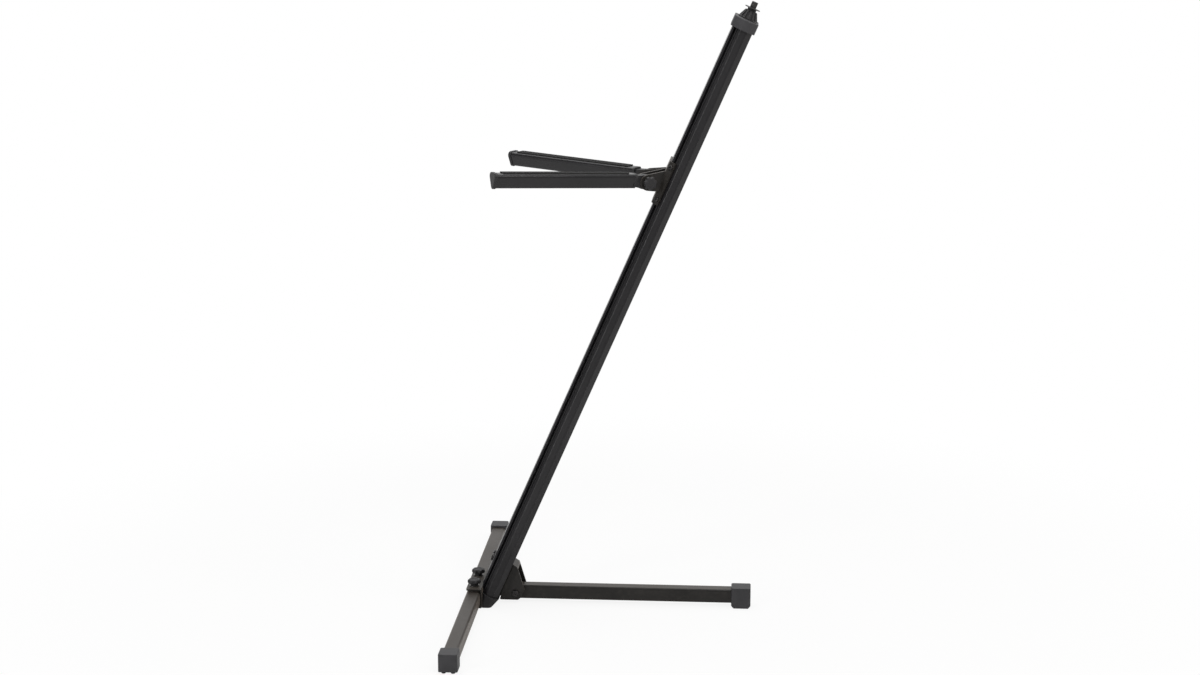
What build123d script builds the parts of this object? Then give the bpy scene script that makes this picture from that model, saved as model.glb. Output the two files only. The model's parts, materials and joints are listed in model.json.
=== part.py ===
from build123d import *
from math import cos, radians, sin, sqrt
import os

os.makedirs("parts", exist_ok=True)

# Column keyboard stand, in millimetres: +X to the player's right, +Y away from the player, +Z up
# The origin is on the floor, in the middle of the stand's footprint box

# Column extrusion
column_tilt = 23.65
column_length = 1205.0
column_width = 100.0
column_depth = 39.0
column_wall = 3.0
front_facet = 16.0
rear_facet = 10.0
front_edge_radius = 4.0
rear_edge_radius = 1.5
least_round = 0.6
seam_groove_width = 3.0
seam_groove_depth = 1.2
port_radius = 5.0
port_hole_radius = 2.1
port_spacing = 62.0

# Accessory slots in the front facets
slot_mouth = 6.2
slot_lip = 2.0
slot_cavity_width = 11.2
slot_cavity_depth = 4.6
slot_inset = 8.4
slot_shell = 2.0
lip_groove_width = 2.0
lip_groove_depth = 1.4
lip_groove_gap = 3.6

# Boot that carries the column's lower end
boot_ledge = 27.5
boot_flare = 3.5
boot_ground_gap = 2.0
boot_heel_rise = 1.0
boot_plug_height = 86.0
plug_clearance = 0.3

# Front legs and their channel
leg_tube = 27.0
leg_wall = 2.0
leg_corner = 4.0
leg_washer_radius = 12.0
leg_setback = 17.3
front_leg_gap = 6.0
front_span = 818.0
front_pivot_spacing = 65.0
channel_width = 113.0
channel_sheet = 3.0
channel_ground_gap = 2.0
channel_headroom = 4.0
channel_side_gap = 0.6
channel_bend = 2.5
inner_bend = 0.4
channel_corner = 5.0
channel_screw_height = 21.0
channel_screw_length = 18.0

# Foot caps
foot_width = 35.0
foot_corner = 3.5
foot_fit = 0.2
foot_end_wall = 3.0
front_foot_length = 37.0
front_foot_lift = 4.5
front_foot_height = 33.0
nub_radius = 4.0
nub_spacing = 17.0
nub_setback = 9.0
nub_round = 1.0
foot_edge = 1.5
rear_foot_length = 37.5
rear_foot_height = 40.5
rear_foot_chamfer = 5.0

# Rear leg and its bracket
rear_reach = 518.7
rear_pivot_back = 61.7
rear_leg_gap = 9.0
bracket_width = 44.0
bracket_sheet = 3.0
bracket_top = 97.0
bracket_lip = 10.5
bracket_lip_slope = 1.8
bracket_heel_gap = 9.2
bracket_rear_margin = 17.7
bracket_rear_rise = 7.0
bracket_toe_margin = 11.5
bracket_toe_drop = 7.4
bracket_sole_margin = 5.0
bracket_sole_tuck = 2.0
bracket_round = 2.5
bracket_bend = 2.5
bracket_ledge_gap = 1.0
bracket_boot_gap = 0.5
screw_spacing = 22.0
front_screw_height = 91.5
bracket_screw_low = 48.0
bracket_screw_high = 76.0
plug_screw_length = 16.0
rear_bush_radius = 11.0

# Top collar, post and boom clutch
collar_height = 20.0
collar_wall = 3.7
collar_top = 4.0
collar_fit = 0.3
collar_neck_radius = 8.6
collar_neck_height = 12.0
post_offset = 1.5
post_radius = 6.1
stud_radius = 5.9
post_below = 20.0
post_above = 11.7
post_nut_radius = 10.0
post_nut_height = 8.0
clutch_height = 16.0
clutch_collar_height = 4.2
clutch_base_radius = 19.0
clutch_top_radius = 11.2
clutch_core_base = 15.0
clutch_core_top = 10.0
clutch_fins = 10
clutch_fin_width = 2.6
clutch_rim = 1.6
clutch_neck_radius = 8.4
washer_radius = 14.5
washer_thickness = 1.5
collar_screw_length = 16.0

# Tier bracket
tier_bottom = 859.0
tier_height = 84.5
saddle_sheet = 3.5
saddle_wing_end = 15.0
slot_screw_margin = 10.0
slot_nut_inset = 2.5
slot_nut_width = 10.4
slot_nut_thickness = 3.6
slot_nut_length = 14.0
clamp_height = 30.0
clamp_boss_radius = 9.0
clamp_boss_length = 19.0
ear_sheet = 4.0
ear_radius = 15.0
ear_root_up = 22.0
ear_root_down = 24.0
ear_root_reach = 60.0

# Arms
arm_splay = 25.0
arm_rise = 2.8
arm_pivot_across = 36.0
arm_pivot_stand = 28.5
arm_pivot_up = 30.45
arm_length = 300.0
arm_start = 26.0
arm_top_width = 38.0
arm_height = 34.0
arm_crown = 16.0
arm_corner = 6.0
arm_wall = 2.4
knuckle_width = 20.0
knuckle_radius = 14.0
knuckle_flange = 4.0
knuckle_plug = 24.0
pad_width = 22.0
pad_thickness = 2.0
pad_margin = 12.0
arm_cap_thickness = 6.0
arm_cap_grow = 1.2
arm_cap_plug = 14.0
arm_plug_gap = 0.2
knuckle_root_height = 20.0
knuckle_root_rise = 2.0

# Fasteners and fits
body_gap = 0.3
running_fit = 0.1
press_step = 0.2
m5_radius = 2.5
m5_head_radius = 4.6
m5_head_height = 2.8
m5_key = 3.0
m8_radius = 4.0
m8_head_radius = 7.0
m8_head_height = 5.0
m8_key = 5.0
washer_sheet = 1.2
washer_grip_radius = 9.5
m4_radius = 2.0
m4_head_radius = 3.8
m4_head_height = 2.0
m4_key = 2.5
key_depth_share = 0.6
sleeve_wall = 3.0
carriage_head_radius = 8.5
carriage_head_height = 1.4
edge_break = 0.8

# Hand knobs
knob_size = 26.0
knob_height = 12.0
rear_knob = 28.0
rear_knob_height = 13.0
knob_boss_height = 2.5
knob_lobes = 7
knob_edge = 0.8
knob_end_wall = 3.0
knob_dish_depth = 0.6

# Shares of a hand knob's radius
knob_boss_share = 0.68
knob_dish_share = 0.52
knob_scoop_place = 1.2
knob_scoop_share = 0.36
knob_lobe_round = 0.09

# Worked out sizes and places
lean = radians(column_tilt)
splay = radians(arm_splay)
rise = radians(arm_rise)
half_depth = column_depth / 2
half_width = column_width / 2
column_end = boot_ledge + column_length
collar_base = column_end - (collar_height - collar_top)
collar_end = column_end + collar_top
clutch_base = collar_end + body_gap
clutch_end = clutch_base + clutch_height + clutch_collar_height
rim_base = clutch_end + body_gap
rim_reach = (rim_base + washer_thickness) * sin(lean) + (post_offset + washer_radius) * cos(lean)
front_limit = leg_setback + foot_width / 2
rear_limit = max(rear_reach, rim_reach)
column_y = (front_limit - rear_limit) / 2
leg_y = column_y - leg_setback
front_leg_z = front_leg_gap + leg_tube / 2
rear_leg_z = rear_leg_gap + leg_tube / 2
web_front_y = leg_y + leg_tube / 2 + channel_side_gap
web_back_y = web_front_y + channel_sheet
channel_base_z = channel_ground_gap + channel_sheet
channel_under_z = front_leg_gap + leg_tube + channel_headroom
channel_top_z = channel_under_z + channel_sheet
knob_x = front_pivot_spacing / 2
pivot_y = column_y + rear_pivot_back
rear_end_y = column_y + rear_reach
plate_inside = bracket_width / 2 - bracket_sheet
knob_depth = knob_height - knob_end_wall
bore_radius = m8_radius + running_fit
hub_washer_z = channel_top_z + washer_sheet
front_tube_reach = front_span / 2 - foot_end_wall - knob_x
rear_tube_reach = rear_reach - foot_end_wall - rear_pivot_back
saddle_stand = body_gap + saddle_sheet
ear_inside = knuckle_width / 2 + body_gap
ear_outside = ear_inside + ear_sheet
arm_pivot_rear = -half_depth - arm_pivot_stand
arm_pivot_along = tier_bottom + arm_pivot_up
slot_screw_heights = (tier_bottom + slot_screw_margin, tier_bottom + tier_height - slot_screw_margin)
sides = {"right": 1, "left": -1}

# Column axes: local x to the right, local y rearwards, local z up along the column
column_axis = Plane(origin=(0, column_y, 0), x_dir=(1, 0, 0), z_dir=(0, sin(lean), cos(lean)))
web_plane = Plane(origin=(0, web_back_y, 0), x_dir=(1, 0, 0), z_dir=(0, 1, 0))
side_view = Plane.YZ


def column_point(across, rear, height):
    """A point by its place across, behind and along the column's axis."""
    return column_axis.from_local_coords(Vector(across, rear, height))


def side_point(rear, height):
    """A point of the side view by its place behind and along the column's axis."""
    point = column_point(0, rear, height)
    return (point.Y, point.Z)


def across_column(rear, height):
    """A plane square to the column's depth: local x to the left, local y up the column."""
    return Plane(origin=column_point(0, rear, height), x_dir=(-1, 0, 0), z_dir=column_axis.y_dir)


def before_column(height, stand):
    """A plane before the column's front face, facing the player: local y up the column."""
    place = column_point(0, -half_depth - stand, height)
    return Plane(origin=place, x_dir=(1, 0, 0), z_dir=column_axis.y_dir * -1)


def post_plane(height):
    """A plane square to the boom post at a height along the column."""
    return Plane(origin=column_point(0, post_offset, height), x_dir=(1, 0, 0), z_dir=column_axis.z_dir)


def shifted(plane, across, up):
    """The same plane with its origin moved within it."""
    return Plane(plane.location * Location((across, up, 0)))


def facet_plane(side, height, stand):
    """A plane on the slot of one front facet, with its normal outwards and local y along the column."""
    step = slot_inset / sqrt(2)
    out = stand / sqrt(2)
    place = column_point(side * (half_width - front_facet + step + out), step - half_depth - out, height)
    normal = column_axis.x_dir * side - column_axis.y_dir
    return Plane(origin=place, x_dir=normal.cross(column_axis.z_dir) * -1, z_dir=normal)


def column_outline(grow=0.0):
    """The column's outer outline, grown by a wall or a clearance."""
    side = half_width + grow
    face = half_depth + grow
    front = front_facet + (2 - sqrt(2)) * grow
    rear = rear_facet + (2 - sqrt(2)) * grow
    front_round = max(front_edge_radius + grow, least_round)
    rear_round = max(rear_edge_radius + grow, least_round)
    corners = [
        (side - front, -face),
        (side, front - face),
        (side, face - rear),
        (side - rear, face),
        (rear - side, face),
        (-side, face - rear),
        (-side, front - face),
        (front - side, -face),
    ]
    rounds = [front_round, front_round, rear_round, rear_round]
    with BuildSketch() as outline:
        with BuildLine():
            FilletPolyline(*corners, radius=rounds + rounds[::-1], close=True)
        make_face()
    return outline.sketch


def facet_place(along, inward=0.0):
    """A place on the right front facet: local x runs along the facet, local y inwards."""
    across = half_width - front_facet + (along - inward) / sqrt(2)
    return Location((across, (along + inward) / sqrt(2) - half_depth, 0), (0, 0, 45))


def slot_block(wall):
    """The pair of blocks that house the accessory slots, with a wall or a clearance round them."""
    with BuildSketch() as blocks:
        with Locations(facet_place(slot_inset)):
            Rectangle(
                slot_cavity_width + 2 * wall,
                slot_lip + slot_cavity_depth + wall,
                align=(Align.CENTER, Align.MIN),
            )
        mirror(about=Plane.YZ)
    return blocks.sketch


def slot_cut():
    """The pair of accessory slots, their lip grooves and the seam grooves in the side faces."""
    with BuildSketch() as cut:
        with Locations(facet_place(slot_inset, -1)):
            Rectangle(slot_mouth, slot_lip + 2, align=(Align.CENTER, Align.MIN))
        with Locations(facet_place(slot_inset, slot_lip)):
            Rectangle(slot_cavity_width, slot_cavity_depth, align=(Align.CENTER, Align.MIN))
        with Locations(facet_place(slot_inset + slot_mouth / 2 + lip_groove_gap)):
            Rectangle(lip_groove_width, 2 * lip_groove_depth)
        with Locations((half_width, half_depth - rear_facet - seam_groove_width / 2)):
            Rectangle(2 * seam_groove_depth, seam_groove_width)
        mirror(about=Plane.YZ)
    return cut.sketch


def screw_ports(radius):
    """The pair of round screw ports on the inside of the rear wall."""
    with BuildSketch() as ports:
        with Locations((0, half_depth - port_radius)):
            with GridLocations(port_spacing, 1, 2, 1):
                Circle(radius)
    return ports.sketch


def plug_outline():
    """The column's hollow less a clearance, as a plug fills it."""
    with BuildSketch() as plug:
        add(column_outline(-column_wall - plug_clearance))
        add(slot_block(slot_shell + plug_clearance), mode=Mode.SUBTRACT)
        add(screw_ports(port_radius + plug_clearance), mode=Mode.SUBTRACT)
        edge = half_width - front_facet - column_wall
        with GridLocations(4 * edge, 1, 2, 1):
            Rectangle(2 * edge, column_depth, mode=Mode.SUBTRACT)
    return plug.sketch


def lobed_outline(radius):
    """A hand knob's outline: a round grip with scooped finger hollows."""
    with BuildSketch() as lobes:
        Circle(radius)
        with PolarLocations(radius * knob_scoop_place, knob_lobes):
            Circle(radius * knob_scoop_share, mode=Mode.SUBTRACT)
        fillet(lobes.vertices(), radius * knob_lobe_round)
    return lobes.sketch


def hand_knob(plane, diameter, height, stud_radius):
    """A lobed female hand knob standing on a plane, with a blind bore for its stud."""
    axis = Axis(plane.origin, plane.z_dir)
    with BuildPart() as knob:
        with BuildSketch(plane):
            Circle(diameter / 2 * knob_boss_share)
        extrude(amount=knob_boss_height)
        with BuildSketch(plane.offset(knob_boss_height)):
            add(lobed_outline(diameter / 2))
        extrude(amount=height - knob_boss_height)
        chamfer(knob.faces().filter_by(axis).sort_by(axis)[-1].edges(), knob_edge)
        with BuildSketch(plane.offset(height)):
            Circle(diameter / 2 * knob_dish_share)
        extrude(amount=-knob_dish_depth, mode=Mode.SUBTRACT)
        with BuildSketch(plane):
            Circle(stud_radius + running_fit)
        extrude(amount=height - knob_end_wall, mode=Mode.SUBTRACT)
    return knob.part


def screw(plane, radius, length, head_radius, head_height, key):
    """A button-head screw: its head stands on a plane and its shank goes into it."""
    with BuildPart() as fastener:
        with BuildSketch(plane):
            Circle(head_radius)
        extrude(amount=head_height)
        crown = fastener.faces().sort_by(Axis(plane.origin, plane.z_dir))[-1]
        fillet(crown.edges(), head_height / 2)
        with BuildSketch(plane.offset(head_height)):
            RegularPolygon(key / 2, 6, major_radius=False)
        extrude(amount=-head_height * key_depth_share, mode=Mode.SUBTRACT)
        with BuildSketch(plane):
            Circle(radius)
        extrude(amount=-length)
    return fastener.part


def shaft(plane, radius, length):
    """A plain round shaft or screw shank from a plane."""
    with BuildPart() as rod:
        with BuildSketch(plane):
            Circle(radius)
        extrude(amount=length)
    return rod.part


def ring(plane, outer, inner, thickness):
    """A flat washer, bush or sleeve from a plane."""
    with BuildPart() as washer:
        with BuildSketch(plane):
            Circle(outer)
            Circle(inner, mode=Mode.SUBTRACT)
        extrude(amount=thickness)
    return washer.part


def hex_nut(plane, radius, bore, height):
    """A hexagon nut from a plane."""
    with BuildPart() as nut:
        with BuildSketch(plane):
            RegularPolygon(radius, 6)
            Circle(bore, mode=Mode.SUBTRACT)
        extrude(amount=height)
    return nut.part


def pivot_across(pivot):
    """The plane through a leg's pivot that is square to the pivot's own axis."""
    return Plane(origin=pivot.origin, x_dir=pivot.z_dir, z_dir=pivot.x_dir)


def pivoted_tube(pivot, reach):
    """A square leg tube along a plane's normal, with an end rounded about the plane's local x."""
    half = leg_tube / 2
    inside = leg_tube - 2 * leg_wall
    with BuildPart() as tube:
        with BuildSketch(pivot.offset(-half)):
            RectangleRounded(leg_tube, leg_tube, leg_corner)
            RectangleRounded(inside, inside, leg_corner - leg_wall, mode=Mode.SUBTRACT)
        extrude(amount=half + reach)
        with BuildSketch(pivot_across(pivot)):
            with Locations((-half, 0)):
                Rectangle(leg_tube, leg_tube + leg_wall)
            Circle(half, mode=Mode.SUBTRACT)
            Circle(bore_radius)
        extrude(amount=half, both=True, mode=Mode.SUBTRACT)
    return tube.part


def pivot_sleeve(pivot):
    """The crush sleeve inside a leg tube, round its pivot bolt."""
    inside = leg_tube - 2 * leg_wall
    base = pivot_across(pivot).offset(-inside / 2)
    return ring(base, bore_radius + sleeve_wall, bore_radius, inside)


def foot_pocket(pivot, reach, depth):
    """The pocket that a foot cap leaves for its leg tube."""
    with BuildPart() as pocket:
        with BuildSketch(pivot.offset(reach - depth)):
            RectangleRounded(leg_tube + 2 * foot_fit, leg_tube + 2 * foot_fit, leg_corner)
        extrude(amount=depth)
    return pocket.part


def arm_outline(grow=0.0):
    """The three-sided section of an arm, flat side up."""
    with BuildSketch() as section:
        with BuildLine():
            FilletPolyline(
                (-arm_top_width / 2, arm_crown),
                (arm_top_width / 2, arm_crown),
                (0, arm_crown - arm_height),
                radius=arm_corner,
                close=True,
            )
        make_face()
        if grow:
            offset(amount=grow, mode=Mode.REPLACE)
    return section.sketch


def arm_frame(side):
    """An arm's own plane: local x out along the arm, local y upwards, at its tilt pivot."""
    level = Vector(side * sin(splay), -cos(splay), 0)
    along = level * cos(rise) + Vector(0, 0, sin(rise))
    pivot = column_point(side * arm_pivot_across, arm_pivot_rear, arm_pivot_along)
    return Plane(origin=pivot, x_dir=along, z_dir=level.cross(Vector(0, 0, 1)))


def arm_station(side, reach):
    """A plane square to an arm at a distance from its pivot: local y upwards."""
    frame = arm_frame(side)
    return Plane(origin=frame.origin + frame.x_dir * reach, x_dir=frame.z_dir * -1, z_dir=frame.x_dir)


def arm_side(side, out):
    """A plane beside an arm, facing away from the stand's middle."""
    frame = arm_frame(side)
    outward = frame.z_dir * -side
    return Plane(origin=frame.origin + outward * out, x_dir=frame.x_dir, z_dir=outward)


def pair(plane, spacing):
    """Two places on a plane, apart along its local x."""
    return [shifted(plane, side * spacing / 2, 0) for side in sides.values()]


def quartet(low, high, spacing):
    """Four places: a pair on each of two planes."""
    return pair(low, spacing) + pair(high, spacing)


front_face = before_column(front_screw_height, 0)
bracket_low = across_column(half_depth + bracket_sheet, bracket_screw_low)
bracket_high = across_column(half_depth + bracket_sheet, bracket_screw_high)
channel_face = Plane(origin=(0, web_front_y, channel_screw_height), x_dir=(1, 0, 0), z_dir=(0, -1, 0))
rear_pivot = Plane(origin=(0, pivot_y, rear_leg_z), x_dir=(1, 0, 0), z_dir=(0, 1, 0))

# Column extrusion, square at its top and trimmed upright behind the leg channel
with BuildPart() as column:
    with BuildSketch(column_axis.offset(boot_ledge)):
        add(column_outline())
        add(column_outline(-column_wall), mode=Mode.SUBTRACT)
        add(slot_block(slot_shell))
        add(screw_ports(port_radius))
        add(slot_cut(), mode=Mode.SUBTRACT)
        add(screw_ports(port_hole_radius), mode=Mode.SUBTRACT)
    extrude(amount=column_length)
    split(bisect_by=web_plane.offset(plug_clearance), keep=Keep.TOP)
    for place in pair(front_face, screw_spacing):
        add(shaft(place, m8_radius + press_step, -2 * column_wall), mode=Mode.SUBTRACT)
    for place in quartet(bracket_low, bracket_high, screw_spacing):
        add(shaft(place, m8_radius + press_step, -bracket_sheet - 2 * column_wall), mode=Mode.SUBTRACT)
column.part.label = "column"
export_step(column.part, "parts/column.step")

# Boot: a moulded shoe under the column with a plug that fills its lower end
with BuildPart() as column_boot:
    with BuildSketch(column_axis.offset(boot_ledge)):
        add(column_outline(boot_flare))
    extrude(amount=-3 * boot_ledge)
    split(bisect_by=Plane.XY.offset(boot_ground_gap), keep=Keep.TOP)
    heel_y, heel_z = side_point(half_depth + boot_flare, boot_ledge)
    heel = Plane(origin=(0, heel_y, heel_z + boot_heel_rise), x_dir=(1, 0, 0), z_dir=(0, -1, 1))
    split(bisect_by=heel, keep=Keep.TOP)
    with BuildSketch(column_axis.offset(boot_ledge)):
        add(plug_outline())
    extrude(amount=boot_plug_height)
    split(bisect_by=web_plane, keep=Keep.TOP)
    for place in pair(front_face, screw_spacing):
        add(shaft(place, m8_radius, -plug_screw_length), mode=Mode.SUBTRACT)
    for place in quartet(bracket_low, bracket_high, screw_spacing):
        add(shaft(place, m8_radius, -plug_screw_length), mode=Mode.SUBTRACT)
    for place in pair(channel_face, screw_spacing):
        add(shaft(place, m8_radius, -channel_screw_length), mode=Mode.SUBTRACT)
column_boot.part.label = "column_boot"
export_step(column_boot.part, "parts/column_boot.step")

# Leg channel: bent sheet, open towards the player, that holds both front legs
with BuildPart() as leg_channel:
    with BuildSketch(side_view):
        with BuildLine():
            FilletPolyline(
                (leg_y - leg_tube / 2, channel_ground_gap),
                (web_back_y, channel_ground_gap),
                (web_back_y, channel_top_z),
                (leg_y - leg_tube / 2, channel_top_z),
                (leg_y - leg_tube / 2, channel_under_z),
                (web_front_y, channel_under_z),
                (web_front_y, channel_base_z),
                (leg_y - leg_tube / 2, channel_base_z),
                radius=[0, channel_bend, channel_bend, 0, 0, inner_bend, inner_bend, 0],
                close=True,
            )
        make_face()
    extrude(amount=channel_width / 2, both=True)
    upright = leg_channel.edges().filter_by(Axis.Z).group_by(Axis.Y)[0]
    fillet(upright, channel_corner)
    for side in sides.values():
        hole = Plane(origin=(side * knob_x, leg_y, 0))
        add(shaft(hole, m8_radius + press_step, 2 * channel_top_z), mode=Mode.SUBTRACT)
    for place in pair(channel_face, screw_spacing):
        add(shaft(place, m8_radius + press_step, -2 * channel_sheet), mode=Mode.SUBTRACT)
leg_channel.part.label = "leg_channel"
export_step(leg_channel.part, "parts/leg_channel.step")

# Channel screws, between the front legs' inner ends
with BuildPart() as channel_screws:
    for place in pair(channel_face, screw_spacing):
        add(screw(place, m8_radius, channel_screw_length, m8_head_radius, m8_head_height, m8_key))
channel_screws.part.label = "channel_screws"
export_step(channel_screws.part, "parts/channel_screws.step")

# Front screws, through the column's front face into the boot's plug
with BuildPart() as front_screws:
    for place in pair(front_face, screw_spacing):
        add(screw(place, m8_radius, plug_screw_length, m8_head_radius, m8_head_height, m8_key))
front_screws.part.label = "front_screws"
export_step(front_screws.part, "parts/front_screws.step")

# Pivot bolts of the front legs, their low heads under the channel
pivot_bolt_length = hub_washer_z + knob_depth - channel_ground_gap
with BuildPart() as leg_pivot_bolts:
    for side in sides.values():
        place = Plane(
            origin=(side * knob_x, leg_y, channel_ground_gap),
            x_dir=(1, 0, 0),
            z_dir=(0, 0, -1),
        )
        bolt = screw(
            place,
            m8_radius,
            pivot_bolt_length,
            carriage_head_radius,
            carriage_head_height,
            m8_key,
        )
        add(bolt)
leg_pivot_bolts.part.label = "leg_pivot_bolts"
export_step(leg_pivot_bolts.part, "parts/leg_pivot_bolts.step")

# Thin wear washers under the front legs
with BuildPart() as leg_wear_washers:
    for side in sides.values():
        place = Plane(origin=(side * knob_x, leg_y, channel_base_z))
        thickness = front_leg_gap - body_gap - channel_base_z
        add(ring(place, leg_washer_radius, m8_radius + press_step, thickness))
leg_wear_washers.part.label = "leg_wear_washers"
export_step(leg_wear_washers.part, "parts/leg_wear_washers.step")

# Spacers between the front legs and the channel's top
with BuildPart() as leg_spacers:
    for side in sides.values():
        base = front_leg_gap + leg_tube + body_gap
        place = Plane(origin=(side * knob_x, leg_y, base))
        add(ring(place, leg_washer_radius, m8_radius + press_step, channel_under_z - base))
leg_spacers.part.label = "leg_spacers"
export_step(leg_spacers.part, "parts/leg_spacers.step")

# Washers under the hub knobs
with BuildPart() as hub_washers:
    for side in sides.values():
        place = Plane(origin=(side * knob_x, leg_y, channel_top_z))
        add(ring(place, washer_grip_radius, m8_radius + press_step, washer_sheet))
hub_washers.part.label = "hub_washers"
export_step(hub_washers.part, "parts/hub_washers.step")

# Front legs, each with its crush sleeve, foot cap and hub knob
for name, side in sides.items():
    pivot = Plane(origin=(side * knob_x, leg_y, front_leg_z), x_dir=(0, 0, 1), z_dir=(side, 0, 0))
    with BuildPart() as front_leg:
        add(pivoted_tube(pivot, front_tube_reach))
    front_leg.part.label = f"front_leg_{name}"
    export_step(front_leg.part, f"parts/front_leg_{name}.step")

    with BuildPart() as front_leg_sleeve:
        add(pivot_sleeve(pivot))
    front_leg_sleeve.part.label = f"front_leg_sleeve_{name}"
    export_step(front_leg_sleeve.part, f"parts/front_leg_sleeve_{name}.step")

    with BuildPart() as front_foot:
        with BuildSketch(Plane.XY.offset(front_foot_lift)):
            with Locations((side * (front_span - front_foot_length) / 2, leg_y)):
                RectangleRounded(front_foot_length, foot_width, foot_corner)
        extrude(amount=front_foot_height)
        fillet(front_foot.faces().sort_by(Axis.Z)[-1].edges(), foot_edge)
        with BuildSketch():
            with Locations((side * (front_span / 2 - nub_setback), leg_y)):
                with GridLocations(1, nub_spacing, 1, 2):
                    Circle(nub_radius)
        extrude(amount=front_foot_lift)
        fillet(front_foot.faces().sort_by(Axis.Z)[:2].edges(), nub_round)
        pocket = foot_pocket(pivot, front_tube_reach, front_foot_length - foot_end_wall)
        add(pocket, mode=Mode.SUBTRACT)
    front_foot.part.label = f"front_foot_{name}"
    export_step(front_foot.part, f"parts/front_foot_{name}.step")

    with BuildPart() as hub_knob:
        place = Plane(origin=(side * knob_x, leg_y, hub_washer_z + body_gap))
        add(hand_knob(place, knob_size, knob_height, m8_radius))
    hub_knob.part.label = f"hub_knob_{name}"
    export_step(hub_knob.part, f"parts/hub_knob_{name}.step")

# Rear bracket: bent sheet against the column's rear face, with a cheek on each side of the leg
lip_fall = bracket_lip_slope / bracket_lip
with BuildPart() as rear_bracket:
    with BuildSketch(side_view):
        with BuildLine():
            FilletPolyline(
                side_point(half_depth, boot_ledge + bracket_ledge_gap),
                side_point(half_depth, bracket_top),
                side_point(half_depth + bracket_lip, bracket_top - bracket_lip_slope),
                (pivot_y + bracket_rear_margin, rear_leg_z + bracket_rear_rise),
                (pivot_y + bracket_toe_margin, rear_leg_z - bracket_toe_drop),
                (pivot_y + bracket_sole_margin, bracket_heel_gap),
                (heel_y - bracket_sole_tuck, bracket_heel_gap),
                side_point(half_depth + boot_flare + bracket_boot_gap, boot_ledge + bracket_ledge_gap),
                radius=[0, 0, bracket_round, bracket_round, bracket_round, bracket_round, bracket_round, 0],
                close=True,
            )
        make_face()
    extrude(amount=bracket_width / 2, both=True)
    bends = rear_bracket.edges().filter_by(Axis(column_axis.origin, column_axis.z_dir))
    fillet(bends.group_by(Axis(column_axis.origin, column_axis.y_dir))[0], bracket_bend)
    inner_top = bracket_top - bracket_sheet
    inner_face = half_depth + bracket_sheet
    with BuildSketch(side_view):
        with BuildLine():
            Polyline(
                side_point(inner_face, -bracket_top),
                side_point(inner_face, inner_top - bracket_sheet * lip_fall),
                side_point(bracket_top, inner_top - (bracket_top - half_depth) * lip_fall),
                side_point(2 * bracket_top, -bracket_top),
                close=True,
            )
        make_face()
    extrude(amount=plate_inside, both=True, mode=Mode.SUBTRACT)
    for place in quartet(bracket_low, bracket_high, screw_spacing):
        add(shaft(place, m8_radius + press_step, -2 * bracket_sheet), mode=Mode.SUBTRACT)
    pivot_hole = Plane(
        origin=(-bracket_width, pivot_y, rear_leg_z),
        x_dir=(0, 1, 0),
        z_dir=(1, 0, 0),
    )
    add(shaft(pivot_hole, m8_radius + press_step, 2 * bracket_width), mode=Mode.SUBTRACT)
rear_bracket.part.label = "rear_bracket"
export_step(rear_bracket.part, "parts/rear_bracket.step")

# Bracket screws, through the bracket and the column's rear face into the boot's plug
with BuildPart() as bracket_screws:
    for place in quartet(bracket_low, bracket_high, screw_spacing):
        add(screw(place, m8_radius, plug_screw_length, m8_head_radius, m8_head_height, m8_key))
bracket_screws.part.label = "bracket_screws"
export_step(bracket_screws.part, "parts/bracket_screws.step")

# Rear leg's pivot bolt, its head on the right cheek
right_cheek = Plane(origin=(bracket_width / 2, pivot_y, rear_leg_z), x_dir=(0, 1, 0), z_dir=(1, 0, 0))
left_cheek = Plane(origin=(-bracket_width / 2, pivot_y, rear_leg_z), x_dir=(0, 1, 0), z_dir=(-1, 0, 0))
rear_knob_depth = rear_knob_height - knob_end_wall
rear_bolt_length = bracket_width + washer_sheet + rear_knob_depth
with BuildPart() as rear_pivot_bolt:
    add(screw(right_cheek, m8_radius, rear_bolt_length, m8_head_radius, m8_head_height, m8_key))
rear_pivot_bolt.part.label = "rear_pivot_bolt"
export_step(rear_pivot_bolt.part, "parts/rear_pivot_bolt.step")

# Bushes that centre the rear leg between the bracket's cheeks
with BuildPart() as rear_pivot_bushes:
    length = plate_inside - leg_tube / 2 - body_gap
    for side in sides.values():
        place = Plane(origin=(side * plate_inside, pivot_y, rear_leg_z), x_dir=(0, 1, 0), z_dir=(-side, 0, 0))
        add(ring(place, rear_bush_radius, m8_radius + press_step, length))
rear_pivot_bushes.part.label = "rear_pivot_bushes"
export_step(rear_pivot_bushes.part, "parts/rear_pivot_bushes.step")

# Washer under the rear leg's clamp knob
with BuildPart() as rear_knob_washer:
    add(ring(left_cheek, washer_grip_radius, m8_radius + press_step, washer_sheet))
rear_knob_washer.part.label = "rear_knob_washer"
export_step(rear_knob_washer.part, "parts/rear_knob_washer.step")

# Rear leg's clamp knob
with BuildPart() as rear_clamp_knob:
    place = left_cheek.offset(washer_sheet + body_gap)
    add(hand_knob(place, rear_knob, rear_knob_height, m8_radius))
rear_clamp_knob.part.label = "rear_clamp_knob"
export_step(rear_clamp_knob.part, "parts/rear_clamp_knob.step")

# Rear leg tube
with BuildPart() as rear_leg_tube:
    add(pivoted_tube(rear_pivot, rear_tube_reach))
rear_leg_tube.part.label = "rear_leg_tube"
export_step(rear_leg_tube.part, "parts/rear_leg_tube.step")

# Crush sleeve inside the rear leg
with BuildPart() as rear_leg_sleeve:
    add(pivot_sleeve(rear_pivot))
rear_leg_sleeve.part.label = "rear_leg_sleeve"
export_step(rear_leg_sleeve.part, "parts/rear_leg_sleeve.step")

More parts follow.
